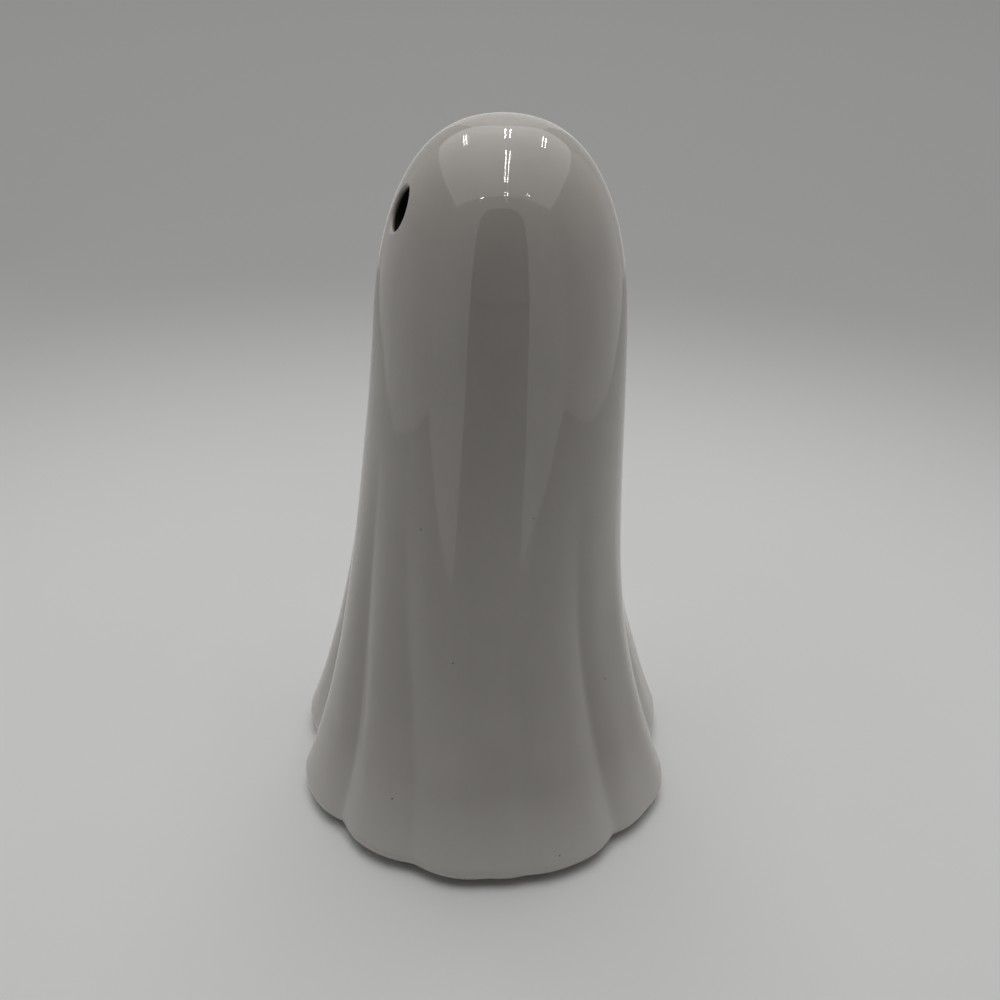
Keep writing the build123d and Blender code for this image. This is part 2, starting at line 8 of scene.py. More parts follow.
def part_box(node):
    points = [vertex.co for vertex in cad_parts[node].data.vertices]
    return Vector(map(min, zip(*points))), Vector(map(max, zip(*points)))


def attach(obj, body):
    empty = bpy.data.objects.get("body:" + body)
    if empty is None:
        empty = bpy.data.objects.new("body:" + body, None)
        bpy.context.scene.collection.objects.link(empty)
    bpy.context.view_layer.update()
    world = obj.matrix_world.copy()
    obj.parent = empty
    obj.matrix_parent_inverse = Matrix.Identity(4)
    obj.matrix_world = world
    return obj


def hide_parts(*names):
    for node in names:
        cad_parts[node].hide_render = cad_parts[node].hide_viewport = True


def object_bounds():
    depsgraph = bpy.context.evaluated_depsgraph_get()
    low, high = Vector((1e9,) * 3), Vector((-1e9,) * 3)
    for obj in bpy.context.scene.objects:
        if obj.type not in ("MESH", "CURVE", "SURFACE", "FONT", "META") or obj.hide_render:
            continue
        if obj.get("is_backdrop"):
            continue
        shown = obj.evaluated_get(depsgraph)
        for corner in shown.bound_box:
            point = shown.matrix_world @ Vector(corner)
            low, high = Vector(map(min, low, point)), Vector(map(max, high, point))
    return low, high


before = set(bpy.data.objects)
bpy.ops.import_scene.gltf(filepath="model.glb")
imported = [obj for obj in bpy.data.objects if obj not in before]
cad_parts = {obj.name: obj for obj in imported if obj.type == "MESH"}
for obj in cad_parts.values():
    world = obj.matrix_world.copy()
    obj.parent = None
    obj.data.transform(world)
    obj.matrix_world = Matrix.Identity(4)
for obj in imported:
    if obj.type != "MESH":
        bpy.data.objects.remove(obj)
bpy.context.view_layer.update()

MM = 0.001
scene = bpy.context.scene

# Form of the ceramic skin, in millimetres and degrees, the same as the solid's
HEIGHT = 165.0
DOME_HEIGHT = 41.0
DOME_FULLNESS = 2.65
HEAD_RADIUS = 25.7
BODY_TAPER = 0.08
HEM_RADIUS = 46.7
HEM_ROUNDING = 4.0
FLARE_POWER = 3.1
SIDE_NARROWING = 3.5
HEAD_SETBACK = 0.8
BELLY_FORWARD = 1.2
WALL = 3.8
FOOT = 0.8
# The skin lies this far inside the formula, as the solid's splines do
SKIN_INSET = 0.1
FOLD_FULL_HEIGHT = 22.0
# Azimuth at the hem, turn towards the head, depth, half width, start below the dome
FOLDS = [
    (2.4, 0, 3.4, 8, 25),
    (25, 7, -0.7, 13, 22),
    (-20, -7, -2.5, 13, 22),
    (39.5, -8, 1.5, 6, 8),
    (-39, 7, 1.5, 6.5, 12),
    (68, -18, 1.2, 8, 4),
    (-66, 16, 1.0, 9, 10),
    (93, -3, 0.5, 6, 55),
    (105, 0, 0.5, 6, 45),
    (-94, 2, 0.5, 7, 50),
    (-112, 3, 0.5, 8, 40),
    (138, -10, 1.5, 6.5, 16),
    (-139, 9, 1.5, 7, 20),
    (160.5, -5, -0.9, 6.5, 31),
    (-159, 5, -2.1, 6.5, 31),
    (180.5, 0, 3.0, 8, 35),
]
# A fine crease along the bottom of each groove, as a share of its depth and width
CREASE_DEPTH = 0.2
CREASE_WIDTH = 0.3
EYE_WIDTH = 6.6
EYE_LENGTH = 8.6
EYE_DROP = 14.8
EYE_AZIMUTH = 19.0
EYE_RIM = 0.7

# Foot of the shell, from the solid's own sizes
FLOOR_TOP = 8.8
FLOOR_UNDER = 4.3
FOOT_HOLE = 33.6
FOOT_RECESS = 36.1
# Eased corners of the foot: how far the rounding runs along each side, and how deep it bites
FLOOR_EASE = (1.0, 0.3)
HOLE_TOP_EASE = (0.6, 0.17)
HOLE_UNDER_EASE = (0.5, 0.15)
RECESS_EASE = (0.4, 0.1)
FOOT_EASE = (0.8, 0.23)

# Mesh density
COLUMNS = 360
SKIRT_ROWS = 130
DOME_ROWS = 72
LIP_ROWS = 10
INNER_SKIRT_ROWS = 40
EYE_PATCH_COLUMNS = 13
EYE_PATCH_REACH = 0.68
EYE_RINGS = 9
EYE_RING_CROWDING = 1.5
RIM_RINGS = 6
TUNNEL_RINGS = 8
TUNNEL_REACH = 4 * WALL
HALVINGS = 40
# Share of the painted shade inside the eye cuts that shows at the rim
EYE_SHADE_AT_RIM = 0.35

neck = HEIGHT - DOME_HEIGHT
eye_z = HEIGHT - EYE_DROP
flare_run = neck - FOOT - HEM_ROUNDING
flare_width = HEM_RADIUS - HEAD_RADIUS - BODY_TAPER * flare_run
flare_angle = math.atan2(BODY_TAPER * flare_run + FLARE_POWER * flare_width, flare_run)
lip_centre = FOOT + HEM_ROUNDING
lip_top = lip_centre + HEM_ROUNDING * math.sin(flare_angle)
grid_azimuths = np.arange(COLUMNS) * 360.0 / COLUMNS


def smooth(share):
    share = np.clip(share, 0.0, 1.0)
    return share * share * (3 - 2 * share)


def centre_y(z):
    """Where the middle of the figure lies at a height."""
    rise = np.minimum(1.0, z / neck)
    return HEAD_SETBACK * smooth(rise) - BELLY_FORWARD * np.sin(np.pi * rise) ** 2


def dome_share(rise):
    return np.maximum(0.0, 1 - np.clip(rise, 0, 1) ** DOME_FULLNESS) ** (1 / DOME_FULLNESS)


def tapered_radius(z):
    return HEAD_RADIUS + BODY_TAPER * (neck - z)


def plain_radius(z):
    """Radius of the skin before folds: rolled hem, flare, body and dome."""
    level = np.maximum(z, lip_top)
    spread = np.clip((neck - level) / (neck - lip_top), 0, 1)
    flare = (HEM_RADIUS - tapered_radius(lip_top)) * spread ** FLARE_POWER
    radius = tapered_radius(level) * dome_share((z - neck) / DOME_HEIGHT) + flare
    reach = np.sqrt(np.maximum(0.0, HEM_ROUNDING ** 2 - (lip_centre - z) ** 2))
    return np.where(z < lip_top, radius + reach - HEM_ROUNDING * math.cos(flare_angle), radius)


def fold_depth(azimuth, z):
    """How far the folds draw the skin in. Lobes, which push it out, are negative."""
    depth = 0.0
    for at, turn, deep, half_width, start in FOLDS:
        away = (azimuth - at - turn * smooth(z / neck) + 180) % 360 - 180
        top = neck - start
        grown = smooth((top - z) / (top - FOLD_FULL_HEIGHT))
        fold = deep * np.exp(-((away / half_width) ** 2))
        crease = CREASE_DEPTH * np.exp(-((away / half_width / CREASE_WIDTH) ** 2))
        depth = depth + (fold + max(deep, 0.0) * crease) * grown
    return depth


def outer_radius(azimuth, z):
    narrow = SIDE_NARROWING * np.maximum(0.0, 1 - z / neck) ** 2
    sides = narrow * np.sin(np.radians(azimuth)) ** 2
    return plain_radius(z) - sides - fold_depth(azimuth, z) - SKIN_INSET


def inner_radius(z):
    """Round inside of the wall: clear of the deepest fold below the neck, domed above it."""
    around = np.arange(0, 360, 5.0)
    levels = np.atleast_1d(np.asarray(z, float))
    slim = outer_radius(around[None, :], levels[:, None]).min(axis=1) - WALL
    share = (levels - neck) / (DOME_HEIGHT - WALL)
    domed = (tapered_radius(levels) - WALL) * dome_share(share)
    return np.where(levels > neck, domed, slim).reshape(np.shape(z))


def on_ring(radius, azimuth, z):
    turn = np.radians(azimuth)
    z = np.broadcast_to(z, np.shape(radius))
    return np.stack([radius * np.sin(turn), centre_y(z) - radius * np.cos(turn), z], axis=-1)


def outer_point(azimuth, z):
    return on_ring(outer_radius(azimuth, z), azimuth, z)


def inner_point(azimuth, z):
    return on_ring(inner_radius(z) + 0 * azimuth, azimuth, z)


class Skin:
    """Vertices and faces of a mesh as they are laid down."""

    def __init__(self):
        self.points = []
        self.faces = []
        self.bare = []
        # Each vertex's share of the painted shade inside the eye cuts
        self.eye_shade = []

    def add(self, points, bare=0.0, eye_shade=0.0):
        first = len(self.points)
        self.points.extend(map(tuple, points))
        self.bare.extend([bare] * len(points))
        self.eye_shade.extend([eye_shade] * len(points))
        return list(range(first, len(self.points)))

    def bridge(self, ring_a, ring_b, skip=()):
        count = len(ring_a)
        for i in range(count):
            if i not in skip:
                j = (i + 1) % count
                self.faces.append((ring_a[i], ring_a[j], ring_b[j], ring_b[i]))


def lay_rings(skin, levels, surface, bare=0.0):
    """Full rings of one side of the wall, one per level."""
    return [skin.add(surface(grid_azimuths, np.full(COLUMNS, z)), bare) for z in levels]


def dome_levels(bottom, height):
    return [bottom + height * math.sin(math.pi / 2 * i / DOME_ROWS) for i in range(DOME_ROWS)]


def rows_about(levels, z, reach):
    low = max(i for i, level in enumerate(levels) if level <= z - reach)
    high = min(i for i, level in enumerate(levels) if level >= z + reach)
    return low, high


def eye_span(azimuth):
    """Columns of the grid that the patch round an eye covers."""
    middle = int(round(azimuth)) % COLUMNS
    steps = range(-EYE_PATCH_COLUMNS, EYE_PATCH_COLUMNS + 1)
    return [(middle + step) % COLUMNS for step in steps]


def patch_loop(rings, levels, rows, columns):
    """Vertices round a patch of the grid, from its lower first corner, with their azimuths and heights."""
    low, high = rows
    cells = [(low, c) for c in columns[:-1]]
    cells += [(r, columns[-1]) for r in range(low, high)]
    cells += [(high, c) for c in reversed(columns[1:])]
    cells += [(r, columns[0]) for r in range(high, low, -1)]
    at = np.array([(c * 360.0 / COLUMNS + 180) % 360 - 180 for _, c in cells])
    z = np.array([levels[r] for r, _ in cells])
    return [rings[r][c] for r, c in cells], at, z


def eye_frame(azimuth):
    """An eye's way out of the skin, the rise of the skin along its length, and the radius there."""
    slope = float(plain_radius(np.array(eye_z + 0.5)) - plain_radius(np.array(eye_z - 0.5)))
    tilt = math.atan(-slope)
    turn = math.radians(azimuth)
    out = np.array([math.sin(turn) * math.cos(tilt), -math.cos(turn) * math.cos(tilt), math.sin(tilt)])
    return out, math.cos(tilt), float(plain_radius(np.array(eye_z)))


def eye_ring(azimuth, angles, grow):
    """Azimuths and heights of an ellipse round an eye, grown by some millimetres."""
    _, rise, radius = eye_frame(azimuth)
    across = (EYE_WIDTH / 2 + grow) * np.cos(angles)
    along = (EYE_LENGTH / 2 + grow) * np.sin(angles)
    return azimuth + np.degrees(across / radius), eye_z + along * rise


def to_inner_skin(points, out):
    """Moves points along the eye's way in until they meet the inside of the wall."""
    near, far = np.zeros(len(points)), np.full(len(points), TUNNEL_REACH)
    for _ in range(HALVINGS):
        middle = (near + far) / 2
        p = points - middle[:, None] * out
        reach = np.hypot(p[:, 0], p[:, 1] - centre_y(p[:, 2]))
        inside = reach < inner_radius(p[:, 2])
        far = np.where(inside, middle, far)
        near = np.where(inside, near, middle)
    return points - far[:, None] * out


def eye_patch(skin, azimuth, outer_grid, inner_grid):
    """Fills the patches round one eye, its rolled rim and the cut through the wall.

    A grid is the rings of one side of the wall, their heights, and the rows of the patch.
    """
    columns = eye_span(azimuth)
    out, rise, radius = eye_frame(azimuth)

    last, at, z = patch_loop(*outer_grid, columns)
    across = np.radians(at - azimuth) * radius / (EYE_WIDTH / 2)
    along = (z - eye_z) / rise / (EYE_LENGTH / 2)
    angles = np.arctan2(along, across)
    rim_at, rim_z = eye_ring(azimuth, angles, EYE_RIM)
    for step in range(1, EYE_RINGS + 1):
        share = 1 - (1 - step / EYE_RINGS) ** EYE_RING_CROWDING
        ring = skin.add(outer_point(at + (rim_at - at) * share, z + (rim_z - z) * share))
        skin.bridge(last, ring)
        last = ring
    for step in range(1, RIM_RINGS + 1):
        bend = math.pi / 2 * step / RIM_RINGS
        ring_at, ring_z = eye_ring(azimuth, angles, EYE_RIM * (1 - math.sin(bend)))
        points = outer_point(ring_at, ring_z) - EYE_RIM * (1 - math.cos(bend)) * out
        ring = skin.add(points, 0.0, EYE_SHADE_AT_RIM if step == RIM_RINGS else 0.0)
        skin.bridge(last, ring)
        last = ring
    end = to_inner_skin(points, out)
    # Painted shade fills the cut through the wall
    for step in range(1, TUNNEL_RINGS + 1):
        ring = skin.add(points + (end - points) * step / TUNNEL_RINGS, 0.0, 1.0)
        skin.bridge(last, ring)
        last = ring
    inner_loop, to_at, to_z = patch_loop(*inner_grid, columns)
    from_at = np.degrees(np.arctan2(end[:, 0], centre_y(end[:, 2]) - end[:, 1]))
    from_z = end[:, 2]
    for step in range(1, EYE_RINGS):
        share = step / EYE_RINGS
        ring_at = from_at + (to_at - from_at) * share
        ring = skin.add(inner_point(ring_at, from_z + (to_z - from_z) * share), 1.0)
        skin.bridge(last, ring)
        last = ring
    skin.bridge(last, inner_loop)


def eased_corner(radius, z, out, up, ease):
    """Three points round a corner of the foot, from its level side to its upright one."""
    run, bite = ease
    return [(radius + out * run, z), (radius + out * bite, z + up * bite), (radius, z + up * run)]


def shell_mesh():
    skin = Skin()
    out_levels = [lip_centre + HEM_ROUNDING * math.sin(a)
                  for a in np.linspace(-math.pi / 2, flare_angle, LIP_ROWS, endpoint=False)]
    out_levels += [lip_top + (neck - lip_top) * i / SKIRT_ROWS for i in range(SKIRT_ROWS)]
    out_levels += dome_levels(neck, DOME_HEIGHT)
    in_bottom = FLOOR_TOP + FLOOR_EASE[0]
    in_levels = [in_bottom + (neck - in_bottom) * i / INNER_SKIRT_ROWS for i in range(INNER_SKIRT_ROWS)]
    in_levels += dome_levels(neck, DOME_HEIGHT - WALL)
    outside = lay_rings(skin, out_levels, outer_point)
    inside = lay_rings(skin, in_levels, inner_point, 1.0)

    # Patches of the grid that the eyes take the place of, equal in rows on both sides of the wall
    outer_rows = rows_about(out_levels, eye_z, EYE_LENGTH * EYE_PATCH_REACH)
    shift = len(out_levels) - len(in_levels)
    inner_rows = (outer_rows[0] - shift, outer_rows[1] - shift)
    gone = {c for azimuth in (EYE_AZIMUTH, -EYE_AZIMUTH) for c in eye_span(azimuth)[:-1]}
    for i in range(len(outside) - 1):
        skin.bridge(outside[i], outside[i + 1], gone if outer_rows[0] <= i < outer_rows[1] else ())
    for i in range(len(inside) - 1):
        skin.bridge(inside[i + 1], inside[i], gone if inner_rows[0] <= i < inner_rows[1] else ())
    for azimuth in (EYE_AZIMUTH, -EYE_AZIMUTH):
        eye_patch(skin, azimuth, (outside, out_levels, outer_rows), (inside, in_levels, inner_rows))

    # Tops of the dome, outside and inside
    top = skin.add([(0, HEAD_SETBACK, HEIGHT)])[0]
    under = skin.add([(0, HEAD_SETBACK, HEIGHT - WALL)], 1.0)[0]
    for i in range(COLUMNS):
        j = (i + 1) % COLUMNS
        skin.faces.append((outside[-1][i], outside[-1][j], top))
        skin.faces.append((inside[-1][j], inside[-1][i], under))

    # Floor of the shell, the hole in it and the recess, down to the foot ring
    wall = float(inner_radius(np.array(in_bottom)))
    outline = eased_corner(wall, FLOOR_TOP, -1, 1, FLOOR_EASE)[1::-1]
    outline += eased_corner(FOOT_HOLE, FLOOR_TOP, 1, -1, HOLE_TOP_EASE)
    outline += eased_corner(FOOT_HOLE, FLOOR_UNDER, 1, 1, HOLE_UNDER_EASE)[::-1]
    outline += eased_corner(FOOT_RECESS, FLOOR_UNDER, -1, -1, RECESS_EASE)
    outline += eased_corner(FOOT_RECESS, FOOT, 1, 1, FOOT_EASE)[::-1]
    turns = np.radians(grid_azimuths)
    last = inside[0]
    for radius, z in outline:
        points = np.stack([radius * np.sin(turns), -radius * np.cos(turns), np.full(COLUMNS, z)], axis=-1)
        ring = skin.add(points, 1.0)
        skin.bridge(last, ring)
        last = ring
    skin.bridge(last, outside[0])
    return skin


def piece(name, points, faces, material, scale=MM):
    mesh = bpy.data.meshes.new(name)
    mesh.from_pydata([tuple(c * scale for c in p) for p in points], [], faces)
    mesh.validate()
    mesh.polygons.foreach_set("use_smooth", [True] * len(mesh.polygons))
    mesh.materials.append(material)
    made = bpy.data.objects.new(name, mesh)
    scene.collection.objects.link(made)
    return made


# The part of a noise's range that is spread over colours and values
NOISE_LOW = 0.3
NOISE_HIGH = 0.7


class Look:
    """A procedural material under construction. Places are in metres."""

    def __init__(self, name):
        self.material = bpy.data.materials.new(name)
        self.material.use_nodes = True
        self.tree = self.material.node_tree
        self.shader = self.tree.nodes["Principled BSDF"]
        self.place = self.node("ShaderNodeTexCoord").outputs["Object"]

    def node(self, kind, settings=(), **sockets):
        """A new node with its settings, and with values on its input sockets."""
        made = self.tree.nodes.new(kind)
        for key, value in dict(settings).items():
            setattr(made, key, value)
        for key, value in sockets.items():
            made.inputs[key.replace("_", " ")].default_value = value
        return made

    def link(self, source, target):
        self.tree.links.new(source, target)

    def feed(self, source, target):
        """Links a socket to an input, or sets a plain value on it."""
        if hasattr(source, "links"):
            self.link(source, target)
        else:
            target.default_value = source

    def axis(self, index):
        made = self.node("ShaderNodeSeparateXYZ")
        self.link(self.place, made.inputs[0])
        return made.outputs[index]

    def attribute(self, name):
        return self.node("ShaderNodeAttribute", {"attribute_name": name}).outputs["Fac"]

    def mapped(self, scale, location=(0, 0, 0)):
        made = self.node("ShaderNodeMapping", Scale=scale, Location=location)
        self.link(self.place, made.inputs["Vector"])
        return made.outputs["Vector"]

    def noise(self, scale, detail=3.0, rough=0.5, stretch=None):
        made = self.node("ShaderNodeTexNoise", Scale=scale, Detail=detail, Roughness=rough)
        self.link(self.mapped(stretch) if stretch else self.place, made.inputs["Vector"])
        return made.outputs["Fac"]

    def ramp(self, source, stops):
        made = self.node("ShaderNodeValToRGB")
        points = made.color_ramp.elements
        while len(points) < len(stops):
            points.new(0.5)
        for point, (at, colour) in zip(points, stops):
            point.position = at
            point.color = (*colour, 1)
        self.link(source, made.inputs["Fac"])
        return made.outputs["Color"]

    def remap(self, source, low, high, to_low, to_high):
        made = self.node("ShaderNodeMapRange")
        for key, value in zip((1, 2, 3, 4), (low, high, to_low, to_high)):
            made.inputs[key].default_value = value
        self.link(source, made.inputs[0])
        return made.outputs[0]

    def mottle(self, noise, colours, low=NOISE_LOW, high=NOISE_HIGH):
        """Two colours, spread over a noise."""
        return self.ramp(noise, [(low, colours[0]), (high, colours[1])])

    def vary(self, noise, values):
        """Two values, spread over a noise."""
        return self.remap(noise, NOISE_LOW, NOISE_HIGH, values[0], values[1])

    def calc(self, kind, first, second):
        made = self.node("ShaderNodeMath", {"operation": kind})
        self.feed(first, made.inputs[0])
        self.feed(second, made.inputs[1])
        return made.outputs[0]

    def mix(self, share, first, second, blend="MIX"):
        """Two colours, mixed by a share."""
        made = self.node("ShaderNodeMix", {"data_type": "RGBA", "blend_type": blend})
        for key, source in ((0, share), (6, first), (7, second)):
            self.feed(source, made.inputs[key])
        return made.outputs[2]

    def mix_values(self, share, first, second):
        made = self.node("ShaderNodeMix", {"data_type": "FLOAT"})
        for key, source in ((0, share), (2, first), (3, second)):
            self.feed(source, made.inputs[key])
        return made.outputs[0]

    def bump(self, height, strength, distance, under=None):
        made = self.node("ShaderNodeBump", Strength=strength, Distance=distance)
        self.link(height, made.inputs["Height"])
        if under is not None:
            self.link(under, made.inputs["Normal"])
        self.link(made.outputs["Normal"], self.shader.inputs["Normal"])
        return made.outputs["Normal"]

    def colour(self, source):
        self.link(source, self.shader.inputs["Base Color"])

    def roughness(self, source):
        self.link(source, self.shader.inputs["Roughness"])


# Colours of the glaze and the clay under it, with painted shade and painted light on the glaze
GLAZE_CLOUDS = ((0.455, 0.426, 0.402), (0.505, 0.474, 0.448))
GLAZE_RUNS = ((0.93, 0.925, 0.92), (1, 1, 1))
# Painted shade colour for the fold grooves
GLAZE_GROOVE_SHADE = (0.425, 0.399, 0.376, 1)
# Painted light colour for the skirt near the hem
GLAZE_HEM_LIGHT = (0.60, 0.575, 0.555, 1)
PINHOLE_COLOUR = (0.14, 0.12, 0.10, 1)
# Painted shade colour inside the eye cuts
EYE_SHADE_COLOUR = (0.020, 0.018, 0.017, 1)
CLAY = ((0.50, 0.45, 0.39), (0.60, 0.545, 0.48))
# Depth of groove at which the painted shade is darkest, in millimetres, and how much of the shade colour
# shows there
GROOVE_SHADE_DEPTH = 2.0
GROOVE_SHADE_SHARE = 0.5
# Heights between which painted light makes the glaze lighter towards the hem, in millimetres
HEM_LIGHT_LOW = 3.0
HEM_LIGHT_HIGH = 26.0
# Uneven height in metres up to which the foot was wiped clean of glaze
WIPED_HEIGHT = 0.0022
WIPED_UNEVEN = 0.0012
# Pinholes seen in the glaze, as azimuth, height and radius, and where their edges fade, in radii
PINHOLES = [(61, 90.6, 0.20), (108, 95.6, 0.16), (79, 60.2, 0.19),
            (144.5, 46.6, 0.22), (115.5, 8.0, 0.22), (59, 19.8, 0.24)]
PINHOLE_CORE = 0.6
PINHOLE_EDGE = 1.25
PINHOLE_DENT = 3.0
GLAZE_ROUGHNESS = (0.015, 0.035)
CLAY_ROUGHNESS = 0.85
GLAZE_IOR = 1.6
# Waves in the glaze: noise scale, detail, stretch up the figure, strength, and height in metres
GLAZE_WAVES = [(45.0, 1.0, 0.16, 0.35, 0.0010), (130.0, 2.0, 0.05, 0.12, 0.0005)]
GLAZE_GRAIN = 0.03
GLAZE_GRAIN_HEIGHT = 0.0002


def pinhole_mask(look):
    pin = None
    for azimuth, z, radius in PINHOLES:
        spot = outer_point(np.array(float(azimuth)), np.array(float(z))) * MM
        away = look.node("ShaderNodeVectorMath", {"operation": "DISTANCE"})
        look.link(look.place, away.inputs[0])
        away.inputs[1].default_value = tuple(spot)
        core, edge = radius * PINHOLE_CORE * MM, radius * PINHOLE_EDGE * MM
        near = look.remap(away.outputs["Value"], core, edge, 1.0, 0.0)
        pin = near if pin is None else look.calc("MAXIMUM", pin, near)
    return pin


def glaze_look():
    look = Look("white_glaze")
    # Clouded warm white with faint runs, with painted shade darkening it a little in the grooves
    clouds = look.mottle(look.noise(28.0, 4.0, 0.55), GLAZE_CLOUDS)
    runs = look.mottle(look.noise(75.0, 3.0, 0.5, (1, 1, 0.10)), GLAZE_RUNS, 0.35, 0.65)
    streaked = look.mix(1.0, clouds, runs, "MULTIPLY")
    groove_shade = look.remap(look.attribute("groove"), 0.0, GROOVE_SHADE_DEPTH, 0.0, GROOVE_SHADE_SHARE)
    groove_shaded = look.mix(groove_shade, streaked, GLAZE_GROOVE_SHADE)
    # Painted light: the glaze is lighter towards the hem
    hem_light = look.remap(look.axis(2), HEM_LIGHT_LOW * MM, HEM_LIGHT_HIGH * MM, 1.0, 0.0)
    hem_lit = look.mix(hem_light, groove_shaded, GLAZE_HEM_LIGHT)
    pin = pinhole_mask(look)
    speckled = look.mix(pin, hem_lit, PINHOLE_COLOUR)
    # Painted shade: the eyes are darkened inside the cut
    eye_shade = look.remap(look.attribute("eye_shade"), 0.0, 1.0, 0.0, 1.0)
    eye_shaded = look.mix(eye_shade, speckled, EYE_SHADE_COLOUR)
    # The foot ring was wiped clean of glaze, and the inside is bare
    height = look.calc("ADD", look.axis(2), look.calc("MULTIPLY", look.noise(160.0), WIPED_UNEVEN))
    wiped = look.calc("LESS_THAN", height, WIPED_HEIGHT)
    bare = look.calc("MAXIMUM", look.attribute("bare"), wiped)
    look.colour(look.mix(bare, eye_shaded, look.mottle(look.noise(700.0, 5.0), CLAY)))
    gloss = look.vary(look.noise(60.0), GLAZE_ROUGHNESS)
    look.roughness(look.mix_values(bare, gloss, CLAY_ROUGHNESS))
    wave = None
    for scale, detail, stretch, strength, rise in GLAZE_WAVES:
        wave = look.bump(look.noise(scale, detail, 0.5, (1, 1, stretch)), strength, rise, wave)
    dents = look.calc("SUBTRACT", look.noise(420.0, 2.0), look.calc("MULTIPLY", pin, PINHOLE_DENT))
    look.bump(dents, GLAZE_GRAIN, GLAZE_GRAIN_HEIGHT, wave)
    look.shader.inputs["IOR"].default_value = GLAZE_IOR
    return look.material


skin = shell_mesh()
shell = piece("glazed_shell", skin.points, skin.faces, glaze_look())
points = np.array(skin.points)
across = np.degrees(np.arctan2(points[:, 0], centre_y(points[:, 2]) - points[:, 1]))
layers = {"groove": fold_depth(across, points[:, 2]), "bare": skin.bare, "eye_shade": skin.eye_shade}
for name, values in layers.items():
    layer = shell.data.attributes.new(name, "FLOAT", "POINT")
    layer.data.foreach_set("value", np.asarray(values, np.float32))
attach(shell, "shell")
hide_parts("ghost_shell")

# Height of the grain in metres, and the grain's noise scale on moulded and on metal pieces
GRAIN_HEIGHT = 0.0001
MOULD_GRAIN = 1800.0
METAL_GRAIN = 2600.0


def plain_look(name, colours, scale, roughness, grain=0.2, grain_scale=MOULD_GRAIN, metal=0.0):
    """A moulded, plated or cast surface: mottled colour, uneven gloss and a fine grain."""
    look = Look(name)
    look.colour(look.mottle(look.noise(scale, 4.0), colours))
    look.roughness(look.vary(look.noise(scale * 3, 2.0), roughness))
    look.bump(look.noise(grain_scale, 2.0), grain, GRAIN_HEIGHT)
    look.shader.inputs["Metallic"].default_value = metal
    return look.material


# Finishes of the light unit and the pads
moulded = plain_look("white_plastic", ((0.74, 0.72, 0.67), (0.80, 0.78, 0.73)), 60.0, (0.38, 0.5))
frosted = plain_look("frosted_plastic", ((0.82, 0.79, 0.71), (0.88, 0.86, 0.79)), 90.0, (0.45, 0.6), 0.3)
rubber = plain_look("soft_seal", ((0.62, 0.60, 0.55), (0.72, 0.70, 0.65)), 140.0, (0.6, 0.8))
pad = plain_look("clear_pad", ((0.60, 0.62, 0.61), (0.70, 0.72, 0.71)), 300.0, (0.25, 0.4))
steel = plain_look("screw_steel", ((0.48, 0.48, 0.50), (0.62, 0.62, 0.63)), 500.0, (0.25, 0.4),
                   grain_scale=METAL_GRAIN, metal=1.0)
nickel = plain_look("nickel_sheet", ((0.58, 0.57, 0.53), (0.70, 0.69, 0.66)), 350.0, (0.18, 0.32),
                    grain=0.1, grain_scale=METAL_GRAIN, metal=1.0)
black = plain_look("black_plastic", ((0.028, 0.028, 0.03), (0.045, 0.045, 0.048)), 200.0, (0.4, 0.55))
lamp = plain_look("lamp_epoxy", ((0.80, 0.72, 0.46), (0.88, 0.82, 0.60)), 250.0, (0.08, 0.16), 0.05)

BOARD_MASK = ((0.018, 0.15, 0.06), (0.03, 0.20, 0.085))
BOARD_TRACKS = (0.05, 0.27, 0.12, 1)


def board_look():
    look = Look("board_green")
    tracks = look.node("ShaderNodeTexBrick", Scale=150.0, Mortar_Size=0.03)
    look.link(look.place, tracks.inputs["Vector"])
    mask = look.mottle(look.noise(120.0, 4.0), BOARD_MASK)
    look.colour(look.mix(tracks.outputs["Fac"], mask, BOARD_TRACKS))
    look.roughness(look.vary(look.noise(300.0), (0.25, 0.4)))
    look.bump(tracks.outputs["Fac"], 0.3, GRAIN_HEIGHT)
    return look.material


WORN = ((0.80, 0.80, 0.80), (1.0, 1.0, 1.0))
WEAR = 0.5


def banded_look(name, node, stops, roughness):
    """Sharp colour bands along a node's length, for the cells' jackets and the resistor."""
    low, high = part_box(node)
    look = Look(name)
    bands = look.ramp(look.remap(look.axis(0), low.x, high.x, 0.0, 1.0), stops)
    bands.node.color_ramp.interpolation = "CONSTANT"
    worn = look.mottle(look.noise(260.0, 4.0), WORN, 0.35, 0.65)
    look.colour(look.mix(WEAR, bands, worn, "MULTIPLY"))
    look.roughness(look.vary(look.noise(200.0), roughness))
    look.bump(look.noise(900.0, 2.0), 0.1, GRAIN_HEIGHT)
    return look.material


CELL_METAL, CELL_DARK, CELL_PALE = (0.62, 0.61, 0.58), (0.10, 0.16, 0.24), (0.62, 0.60, 0.52)
# Where each band of a plain jacket starts along X, with the cell's nub at the low end or the high end
CELL_NUB_LOW = [(0.0, CELL_METAL), (0.07, CELL_DARK), (0.26, CELL_PALE),
                (0.32, CELL_DARK), (0.95, CELL_METAL)]
CELL_NUB_HIGH = [(0.0, CELL_METAL), (0.05, CELL_DARK), (0.68, CELL_PALE),
                 (0.74, CELL_DARK), (0.93, CELL_METAL)]
CELL_ROUGHNESS = (0.22, 0.36)

TIN, TAN, BROWN = (0.55, 0.54, 0.52), (0.56, 0.42, 0.25), (0.14, 0.05, 0.02)
BLACK, GOLD = (0.02, 0.02, 0.02), (0.50, 0.36, 0.10)
# Leads, lacquer and bands of the resistor
RESISTOR_BANDS = [(0.0, TIN), (0.20, TAN), (0.30, BROWN), (0.36, TAN), (0.44, BLACK), (0.50, TAN),
                  (0.58, BROWN), (0.64, TAN), (0.74, GOLD), (0.79, TAN), (0.81, TIN)]
RESISTOR_ROUGHNESS = (0.2, 0.35)

